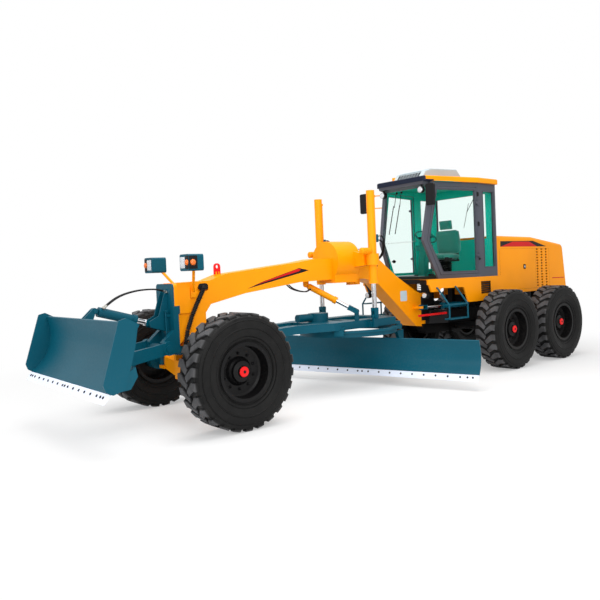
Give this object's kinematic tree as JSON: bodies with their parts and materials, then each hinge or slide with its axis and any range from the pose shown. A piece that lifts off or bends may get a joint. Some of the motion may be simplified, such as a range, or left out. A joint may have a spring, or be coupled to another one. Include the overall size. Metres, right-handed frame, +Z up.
{
  "type": "motor grader with a front dozer blade",
  "caption": "Articulated motor grader with a slewing moldboard under its arched frame, front dozer blade, glazed cab and tandem rear wheels.",
  "frame": {"origin": "on the ground, midway along the machine's overall length and width", "axes": "+X forward, +Y to the machine's left, +Z up"},
  "size_m": [9.985, 3.8696, 3.4793],
  "materials": {
    "yellow_paint": "gloss",
    "teal_paint": "gloss",
    "slate_paint": "satin",
    "dark_paint": "satin",
    "edge_steel": "satin",
    "rod_chrome": "polished",
    "glass": "tinted",
    "tyre": "matte",
    "pale_plastic": "satin",
    "black_plastic": "matte",
    "cast_dark": "rough"
  },
  "bodies": {
    "rear": {"rear_frame": "dark_paint", "tail_weight": "dark_paint", "tandem_axle": "dark_paint", "engine": "cast_dark", "hood": "yellow_paint", "lower_body": "yellow_paint", "steps": "teal_paint", "cab_frame": "slate_paint", "cab_glass": "glass", "roof": "yellow_paint", "ac_unit": "pale_plastic", "seat": "black_plastic", "console": "black_plastic", "mirrors_and_lamps": "black_plastic"},
    "front": {"front_frame": "yellow_paint", "gooseneck": "yellow_paint", "saddle": "yellow_paint", "front_axle": "yellow_paint", "head_plate": "teal_paint", "head_lamps": "teal_paint"},
    "artic_left_barrel": {"artic_barrel_left": "teal_paint"},
    "artic_left_rod": {"artic_rod_left": "rod_chrome"},
    "artic_right_barrel": {"artic_barrel_right": "teal_paint"},
    "artic_right_rod": {"artic_rod_right": "rod_chrome"},
    "knuckle_left": {"knuckle_left": "teal_paint"},
    "knuckle_right": {"knuckle_right": "teal_paint"},
    "tie_rod": {"tie_rod": "teal_paint"},
    "dozer": {"dozer_blade": "teal_paint", "dozer_edge": "edge_steel"},
    "dozer_barrel": {"dozer_barrel": "teal_paint"},
    "dozer_rod": {"dozer_rod": "rod_chrome"},
    "drawbar": {"drawbar": "teal_paint", "circle_drive": "teal_paint", "circle_shoes": "teal_paint"},
    "circle": {"circle": "teal_paint"},
    "carrier": {"blade_carrier": "teal_paint", "side_shift_barrel": "teal_paint"},
    "moldboard": {"moldboard": "teal_paint", "moldboard_edge": "edge_steel", "side_shift_rod": "rod_chrome"},
    "lift_barrel": {"lift_barrels": "yellow_paint"},
    "lift_rod": {"lift_rods": "rod_chrome"},
    "shift_barrel": {"shift_barrel": "yellow_paint"},
    "shift_rod": {"shift_rod": "rod_chrome"},
    "door_left": {"door_left": "slate_paint", "door_glass_left": "glass"},
    "door_right": {"door_right": "slate_paint", "door_glass_right": "glass"},
    "wheel_front_left": {"tyre_front_left": "tyre", "rim_front_left": "dark_paint"},
    "wheel_front_right": {"tyre_front_right": "tyre", "rim_front_right": "dark_paint"},
    "wheel_mid_left": {"tyre_mid_left": "tyre", "rim_mid_left": "dark_paint"},
    "wheel_mid_right": {"tyre_mid_right": "tyre", "rim_mid_right": "dark_paint"},
    "wheel_rear_left": {"tyre_rear_left": "tyre", "rim_rear_left": "dark_paint"},
    "wheel_rear_right": {"tyre_rear_right": "tyre", "rim_rear_right": "dark_paint"}
  },
  "joints": [
    {"name": "articulation", "type": "hinge", "parent": "rear", "child": "front", "pos_m": [-1.11, 0, 1.075], "axis": [0, 0, 1], "range_deg": [-27, 27]},
    {"name": "artic_left_barrel_swing", "type": "hinge", "parent": "rear", "child": "artic_left_barrel", "pos_m": [-1.9, 0.42, 1.115], "axis": [0, 0, 1], "range_deg": [-6.44, 6.44]},
    {"name": "artic_left_rod_slide", "type": "slide", "parent": "artic_left_barrel", "child": "artic_left_rod", "axis": [0.993, -0.1184, 0], "range_m": [-0.1519, 0.1519]},
    {"name": "artic_right_barrel_swing", "type": "hinge", "parent": "rear", "child": "artic_right_barrel", "pos_m": [-1.9, -0.42, 1.115], "axis": [0, 0, 1], "range_deg": [-6.44, 6.44]},
    {"name": "artic_right_rod_slide", "type": "slide", "parent": "artic_right_barrel", "child": "artic_right_rod", "axis": [0.993, 0.1184, 0], "range_m": [-0.15179, 0.15179]},
    {"name": "steering_left", "type": "hinge", "parent": "front", "child": "knuckle_left", "pos_m": [3.34, 0.79, 0.674], "axis": [0, 0, 1], "range_deg": [-50, 50]},
    {"name": "steering_right", "type": "hinge", "parent": "front", "child": "knuckle_right", "pos_m": [3.34, -0.79, 0.674], "axis": [0, 0, 1], "range_deg": [-50.2, 50.2]},
    {"name": "tie_rod_ball", "type": "hinge", "parent": "knuckle_left", "child": "tie_rod", "pos_m": [3.04, 0.79, 0.629], "axis": [0, 0, 1], "range_deg": [-50.2, 50.2]},
    {"name": "wheel_front_left_roll", "type": "hinge", "parent": "knuckle_left", "child": "wheel_front_left", "pos_m": [3.34, 1.09, 0.674], "axis": [0, 1, 0], "continuous": true},
    {"name": "wheel_front_right_roll", "type": "hinge", "parent": "knuckle_right", "child": "wheel_front_right", "pos_m": [3.34, -1.09, 0.674], "axis": [0, 1, 0], "continuous": true},
    {"name": "wheel_mid_left_roll", "type": "hinge", "parent": "rear", "child": "wheel_mid_left", "pos_m": [-2.11, 1.09, 0.674], "axis": [0, 1, 0], "continuous": true},
    {"name": "wheel_mid_right_roll", "type": "hinge", "parent": "rear", "child": "wheel_mid_right", "pos_m": [-2.11, -1.09, 0.674], "axis": [0, 1, 0], "continuous": true},
    {"name": "wheel_rear_left_roll", "type": "hinge", "parent": "rear", "child": "wheel_rear_left", "pos_m": [-3.648, 1.09, 0.674], "axis": [0, 1, 0], "continuous": true},
    {"name": "wheel_rear_right_roll", "type": "hinge", "parent": "rear", "child": "wheel_rear_right", "pos_m": [-3.648, -1.09, 0.674], "axis": [0, 1, 0], "continuous": true},
    {"name": "dozer_lift", "type": "hinge", "parent": "front", "child": "dozer", "pos_m": [3.79, 0, 0.93], "axis": [0, 1, 0], "range_deg": [-3, 37]},
    {"name": "dozer_barrel_swing", "type": "hinge", "parent": "dozer", "child": "dozer_barrel", "pos_m": [4.56, 0, 1.43], "axis": [0, 1, 0], "range_deg": [-0.35, 2.08]},
    {"name": "dozer_rod_slide", "type": "slide", "parent": "dozer_barrel", "child": "dozer_rod", "axis": [-0.9593, 0, -0.2825], "range_m": [-0.01664, 0.18257]},
    {"name": "drawbar_lift", "type": "hinge", "parent": "front", "child": "drawbar", "pos_m": [3.48, 0, 0.88], "axis": [0, 1, 0], "range_deg": [-11.5, 5.6]},
    {"name": "lift_barrel_swing", "type": "hinge", "parent": "front", "child": "lift_barrel", "pos_m": [0.59, 0, 1.93], "axis": [0, 1, 0], "range_deg": [-1.05, 1.95]},
    {"name": "lift_rod_slide", "type": "slide", "parent": "lift_barrel", "child": "lift_rod", "axis": [0, 0, -1], "range_m": [-0.28379, 0.58068]},
    {"name": "shift_barrel_swing", "type": "hinge", "parent": "front", "child": "shift_barrel", "pos_m": [1.32, -0.1, 1.59], "axis": [-0.7649, -0.6441, 0], "range_deg": [-12.96, 26.41]},
    {"name": "shift_rod_slide", "type": "slide", "parent": "shift_barrel", "child": "shift_rod", "axis": [-0.5611, 0.6664, -0.491], "range_m": [-0.15724, 0.32079]},
    {"name": "circle_turn", "type": "hinge", "parent": "drawbar", "child": "circle", "pos_m": [0.59, 0, 0.81], "axis": [0, 0, 1], "continuous": true},
    {"name": "moldboard_tilt", "type": "hinge", "parent": "circle", "child": "carrier", "pos_m": [0.10704, -0.12941, 0.36], "axis": [-0.2588, 0.9659, 0], "range_deg": [-20, 20]},
    {"name": "moldboard_side_shift", "type": "slide", "parent": "carrier", "child": "moldboard", "axis": [-0.2588, 0.9659, 0], "range_m": [-0.5, 0.5]},
    {"name": "door_left_swing", "type": "hinge", "parent": "rear", "child": "door_left", "pos_m": [-1.84, 0.759, 2], "axis": [0, 0, 1], "range_deg": [0, 85]},
    {"name": "door_right_swing", "type": "hinge", "parent": "rear", "child": "door_right", "pos_m": [-1.84, -0.759, 2], "axis": [0, 0, -1], "range_deg": [0, 85]}
  ],
  "couplings": [
    {"joint": "artic_left_barrel_swing", "follows": "articulation", "ratio": 0.23119},
    {"joint": "artic_left_rod_slide", "follows": "articulation", "m_per_rad": -0.3181},
    {"joint": "artic_right_barrel_swing", "follows": "articulation", "ratio": 0.23119},
    {"joint": "artic_right_rod_slide", "follows": "articulation", "m_per_rad": 0.31787},
    {"joint": "steering_right", "follows": "steering_left", "ratio": 1},
    {"joint": "tie_rod_ball", "follows": "steering_left", "ratio": -1},
    {"joint": "dozer_barrel_swing", "follows": "dozer_lift", "ratio": 0.050798},
    {"joint": "dozer_rod_slide", "follows": "dozer_lift", "m_per_rad": 0.27962},
    {"joint": "lift_barrel_swing", "follows": "drawbar_lift", "ratio": -0.15233},
    {"joint": "lift_rod_slide", "follows": "drawbar_lift", "m_per_rad": -2.8831},
    {"joint": "shift_barrel_swing", "follows": "drawbar_lift", "ratio": -2.2792},
    {"joint": "shift_rod_slide", "follows": "drawbar_lift", "m_per_rad": -1.5883}
  ]
}
